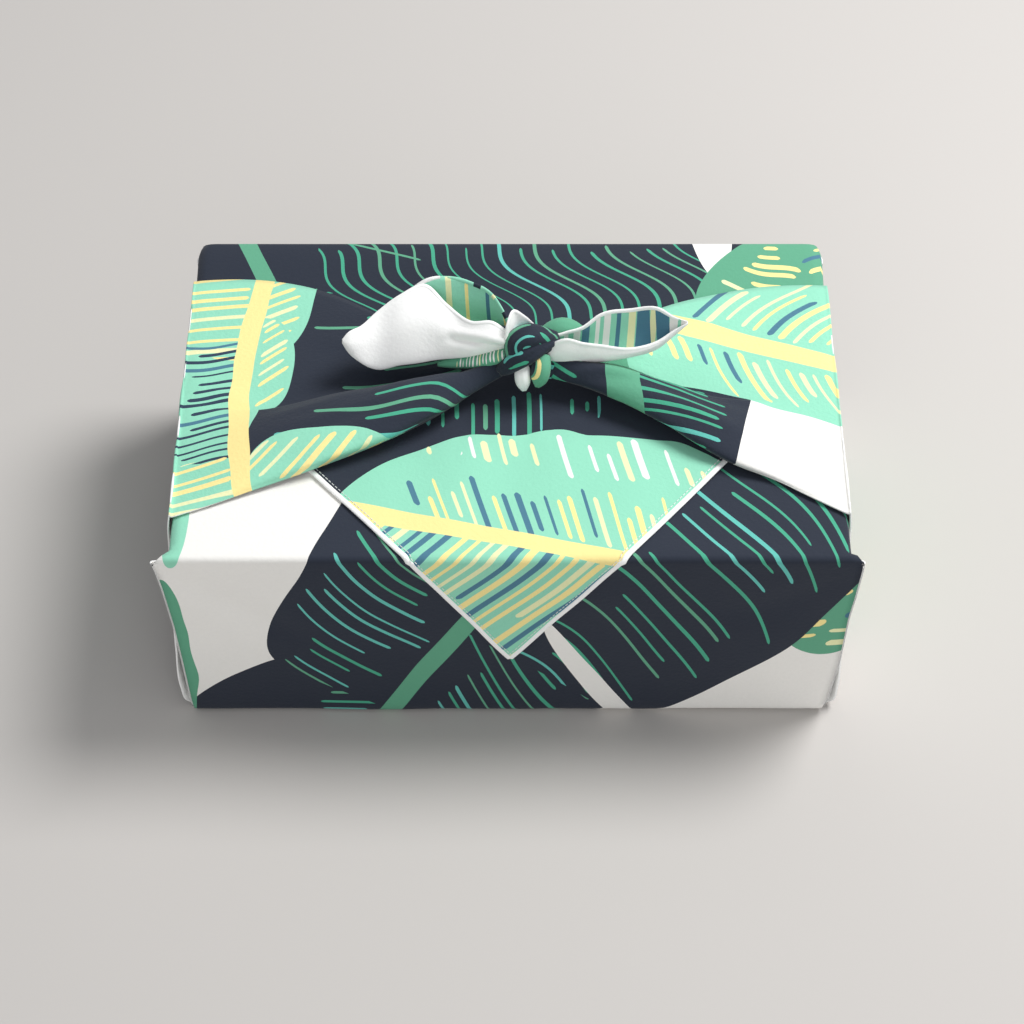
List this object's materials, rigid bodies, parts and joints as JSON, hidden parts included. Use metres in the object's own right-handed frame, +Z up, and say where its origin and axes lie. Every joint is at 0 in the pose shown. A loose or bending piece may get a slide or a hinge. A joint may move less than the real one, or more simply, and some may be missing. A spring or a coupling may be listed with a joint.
{
  "type": "gift box in a knotted furoshiki wrap",
  "caption": "Low gift box wrapped in a square leaf-print cotton cloth: pointed flap over the front edge, side wings rolled and tied on top in a square knot with leaf-shaped tails.",
  "frame": {"origin": "middle of the flat underside of the wrapped box, where it rests", "axes": "+Z up, +X along the long side to the right, the pointed flap hangs down the face at -Y"},
  "size_m": [0.3122, 0.2037, 0.1513],
  "materials": {
    "printed_cotton": "matte, fine plain weave, printed face and white back",
    "carton_board": "matt kraft board"
  },
  "bodies": {
    "root": {"wrap_cloth": "printed_cotton", "carton": "carton_board"}
  },
  "joints": []
}
